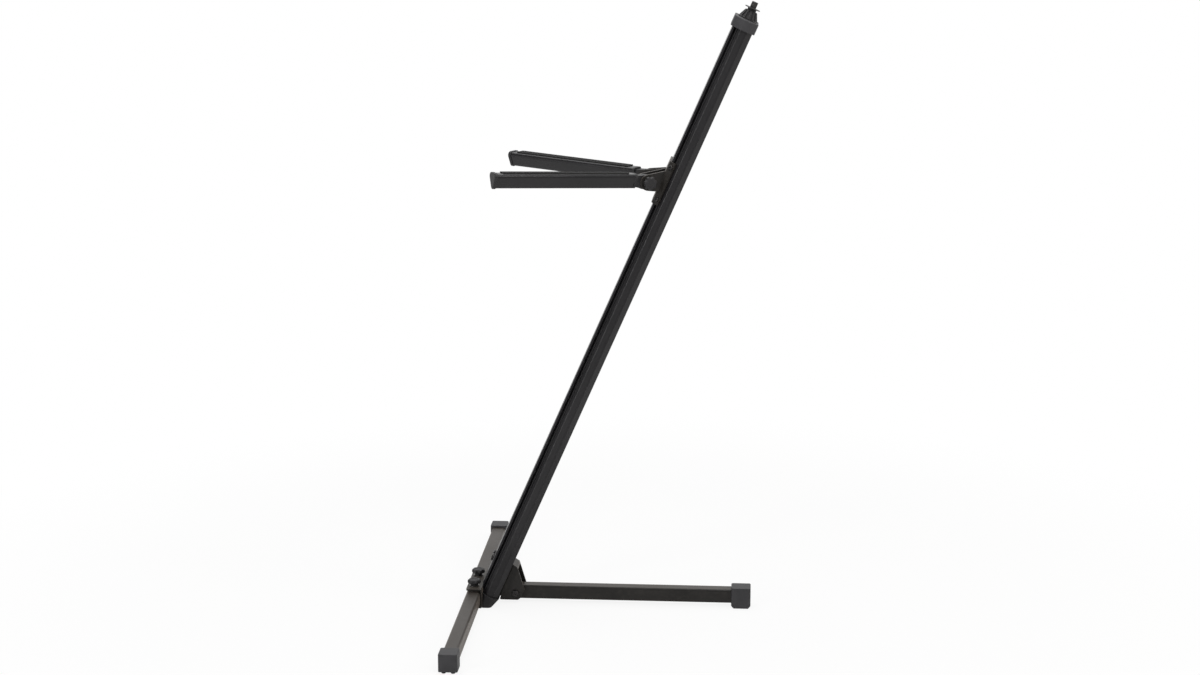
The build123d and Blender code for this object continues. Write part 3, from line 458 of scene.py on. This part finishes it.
def hand_knob(node, body, r, h):
    """A moulded star knob: a crowned head on a narrower hub, with a blind bore for its stud."""
    bore = STUD_RADIUS + BORE_FIT
    corners = [
        (h - KNOB_END_WALL, 0, 0, 0),
        (h - KNOB_END_WALL, bore, 0, 0),
        (0, bore, 0, SMALL_ROUND),
        (0, 0.6 * r, 0, SMALL_ROUND),
        (0.26 * h, 0.58 * r, 0, SMALL_ROUND),
        (0.36 * h, r, 1, 0.2 * r),
        (0.96 * h, r, 1, 0.3 * r),
        (h, 0.5 * r, 0, SMALL_ROUND),
        (h - KNOB_DISH, 0.46 * r, 0, SMALL_ROUND),
        (h - KNOB_DISH, 0, 0, 0),
    ]
    mesh = turned(corners, KNOB_LOBES * STEPS_PER_LOBE, knob_reach, joints[body])
    finish_piece(mesh, f"{node}_moulded", body, node, "black_plastic")


def clutch_reach(radius, turn, depth):
    """The boom clutch's radius at a turn: ribs stand out from its cone, by a depth between them."""
    rib = max(0.0, min(1.0, 0.5 + RIB_SHARPNESS * math.cos(CLUTCH_RIBS * turn)))
    return radius - depth * (1 - rib * rib * (3 - 2 * rib))


def boom_clutch():
    """A ribbed cone with a plain rim and a short neck, hollow over the collar's neck."""
    bore = POST_RADIUS + BORE_FIT
    corners = [
        (CLUTCH_HEIGHT, bore, 0, 0),
        (CLUTCH_CAVITY_DEPTH, bore, 0, 0),
        (CLUTCH_CAVITY_DEPTH, CLUTCH_CAVITY, 0, 0),
        (0, CLUTCH_CAVITY, 0, SMALL_ROUND),
        (0, CLUTCH_RIM, 0, SMALL_ROUND),
        (0.0016, CLUTCH_RIM, 0, SMALL_ROUND),
        (0.002, 0.018, 0.003, SMALL_ROUND),
        (0.9 * CLUTCH_CONE_HEIGHT, 1.09 * CLUTCH_CONE_TOP, 0.0022, SMALL_ROUND),
        (CLUTCH_CONE_HEIGHT, CLUTCH_CONE_TOP, 0.0005, SMALL_ROUND),
        (CLUTCH_CONE_HEIGHT, CLUTCH_NECK, 0, SMALL_ROUND),
        (CLUTCH_HEIGHT, CLUTCH_NECK, 0, SMALL_ROUND),
        (CLUTCH_HEIGHT, bore, 0, 0),
    ]
    mesh = turned(corners, CLUTCH_RIBS * STEPS_PER_RIB, clutch_reach, joints["boom_clutch"])
    finish_piece(mesh, "boom_clutch_ribbed", "boom_clutch", "boom_clutch", "black_plastic")


def reach_along(node, axis):
    """A node's lowest and highest place along an axis."""
    places = [vertex.co.dot(axis) for vertex in frame["nodes"][node].data.vertices]
    return min(places), max(places)


def groove_places(start, end):
    """Places along a grip pad, each with the depth of its cross grooves there."""
    places = [(start, 0), (start + PAD_BORDER, 0)]
    count = round((end - start) / PAD_PITCH) - 1
    pitch = (end - start - 2 * PAD_BORDER) / count
    for groove in range(count):
        for share, depth in GROOVE_SHAPE:
            places.append((start + PAD_BORDER + (groove + share) * pitch, depth))
    return places + [(end - PAD_BORDER, 0), (end, 0)]


def grip_pad(side):
    """A rubber grip strip on an arm's flat side: cross ribs inside a plain border."""
    node = f"arm_pad_{side}"
    along, across, up = side_axes(side)
    start, end = reach_along(node, along)
    first, last = reach_along(node, across)
    base, top = reach_along(node, up)
    mesh = bmesh.new()
    rows = []
    for place, depth in groove_places(start, end):
        inner = PAD_BORDER + PAD_ROUND
        half = [
            (0, base),
            (0, top - PAD_ROUND),
            (PAD_ROUND, top),
            (PAD_BORDER, top),
            (inner, top - depth),
        ]
        outline = [(first + x, z) for x, z in half] + [(last - x, z) for x, z in reversed(half)]
        rows.append([mesh.verts.new(along * place + across * x + up * z) for x, z in outline])
    for row, following in zip(rows, rows[1:]):
        for index in range(len(row)):
            mesh.faces.new((row[index - 1], row[index], following[index], following[index - 1]))
    mesh.faces.new(rows[0])
    mesh.faces.new(rows[-1])
    finish_piece(mesh, f"arm_pad_ribbed_{side}", f"arm_{side}", node, "grip_rubber")


# Studio: a pale floor that fades to white, a white room, and soft lamps
FLOOR_REACH = 60
FLOOR_COLOUR = (0.82, 0.82, 0.82, 1)
FADE_NEAR = 0.7
FADE_FAR = 1.6
FADE_SHARE = 0.88
MIRROR_NEAR = 1.5
MIRROR_FAR = 9.0
ROOM_LEVEL = 0.4
DIM_LEVEL = 0.12
BACKDROP_FULL = 0.55
BACKDROP = (-0.9, 0, 0.5)


def seen_rays(nodes):
    """How a ray sees the surroundings: whether as camera or glass, and whether in a reflection."""
    path = nodes.node("ShaderNodeLightPath")
    straight = nodes.math("MAXIMUM", path.outputs["Is Camera Ray"], path.outputs["Is Transmission Ray"])
    return straight, path.outputs["Is Glossy Ray"]


def make_floor():
    """A pale floor that keeps the stand's shadow and fades to white around it."""
    data = bpy.data.meshes.new("floor")
    corners = [(-1, -1), (1, -1), (1, 1), (-1, 1)]
    data.from_pydata([(x * FLOOR_REACH, y * FLOOR_REACH, 0) for x, y in corners], [], [range(4)])
    floor = bpy.data.objects.new("floor", data)
    bpy.context.scene.collection.objects.link(floor)
    material = bpy.data.materials.new("floor")
    material.use_nodes = True
    data.materials.append(material)
    nodes = Nodes(material.node_tree)
    nodes.tree.nodes.clear()
    output = nodes.node("ShaderNodeOutputMaterial")
    diffuse = nodes.node("ShaderNodeBsdfDiffuse")
    diffuse.inputs["Color"].default_value = FLOOR_COLOUR
    glow = nodes.node("ShaderNodeEmission")
    length = nodes.node("ShaderNodeVectorMath", operation="LENGTH")
    nodes.link(nodes.node("ShaderNodeTexCoord").outputs["Object"], length.inputs[0])
    away = length.outputs["Value"]
    straight, glossy = seen_rays(nodes)
    camera_share = nodes.spread(away, FADE_NEAR, FADE_FAR, FADE_SHARE, 1, "SMOOTHSTEP")
    mirror_share = nodes.spread(away, MIRROR_NEAR, MIRROR_FAR, 0, 1, "SMOOTHSTEP")
    share = nodes.math(
        "MAXIMUM",
        nodes.math("MULTIPLY", straight, camera_share),
        nodes.math("MULTIPLY", glossy, mirror_share),
    )
    mixer = nodes.node("ShaderNodeMixShader")
    nodes.link(share, mixer.inputs[0])
    nodes.link(diffuse.outputs[0], mixer.inputs[1])
    nodes.link(glow.outputs[0], mixer.inputs[2])
    nodes.link(mixer.outputs[0], output.inputs["Surface"])


def make_room():
    """White where it is seen, brightest in reflections on the backdrop's side, and soft as light."""
    world = bpy.data.worlds.new("studio")
    world.use_nodes = True
    bpy.context.scene.world = world
    nodes = Nodes(world.node_tree)
    nodes.tree.nodes.clear()
    output = nodes.node("ShaderNodeOutputWorld")
    background = nodes.node("ShaderNodeBackground")
    background.inputs["Color"].default_value = (1, 1, 1, 1)
    facing = nodes.node("ShaderNodeVectorMath", operation="DOT_PRODUCT")
    nodes.link(nodes.node("ShaderNodeTexCoord").outputs["Generated"], facing.inputs[0])
    facing.inputs[1].default_value = BACKDROP
    mirrored = nodes.spread(facing.outputs["Value"], 0, BACKDROP_FULL, DIM_LEVEL, 1, "SMOOTHSTEP")
    straight, glossy = seen_rays(nodes)
    extra = nodes.math("MULTIPLY", glossy, nodes.math("SUBTRACT", mirrored, ROOM_LEVEL))
    level = nodes.math("MAXIMUM", straight, nodes.math("ADD", extra, ROOM_LEVEL))
    nodes.link(level, background.inputs["Strength"])
    nodes.link(background.outputs[0], output.inputs["Surface"])


def softbox(name, place, target, size, power, colour=(1, 1, 1)):
    """A large soft area lamp aimed at a point, out of the camera's sight."""
    lamp = bpy.data.lights.new(name, "AREA")
    lamp.shape = "RECTANGLE"
    lamp.size, lamp.size_y = size
    lamp.energy = power
    lamp.color = colour
    box = bpy.data.objects.new(name, lamp)
    bpy.context.scene.collection.objects.link(box)
    box.visible_camera = False
    box.location = place
    box.rotation_mode = "QUATERNION"
    box.rotation_quaternion = (Vector(target) - Vector(place)).to_track_quat("-Z", "Y")


def make_lamps():
    """An overhead box, one over the column's top, a tall strip in front and a warm box behind."""
    softbox("overhead", place=(-0.6, -0.3, 3.4), target=(0, 0, 0.4), size=(2.6, 2.6), power=52)
    softbox("upper_box", place=(1.6, 0.9, 2.3), target=(0, 0.15, 1.15), size=(0.8, 0.8), power=22)
    softbox("strip", place=(2.3, -1.95, 1.15), target=(0, 0, 0.65), size=(0.45, 2.3), power=26)
    softbox(
        "warm_box",
        place=(0.9, 3.0, 1.75),
        target=(0, 0.1, 0.9),
        size=(1.1, 1.1),
        power=16,
        colour=(1.0, 0.93, 0.84),
    )


make_camera()
dress_nodes()
for knob_node, (knob_body, knob_radius, knob_height) in KNOBS.items():
    hand_knob(knob_node, knob_body, knob_radius, knob_height)
boom_clutch()
for pad_side in SIDES:
    grip_pad(pad_side)
make_floor()
make_room()
make_lamps()
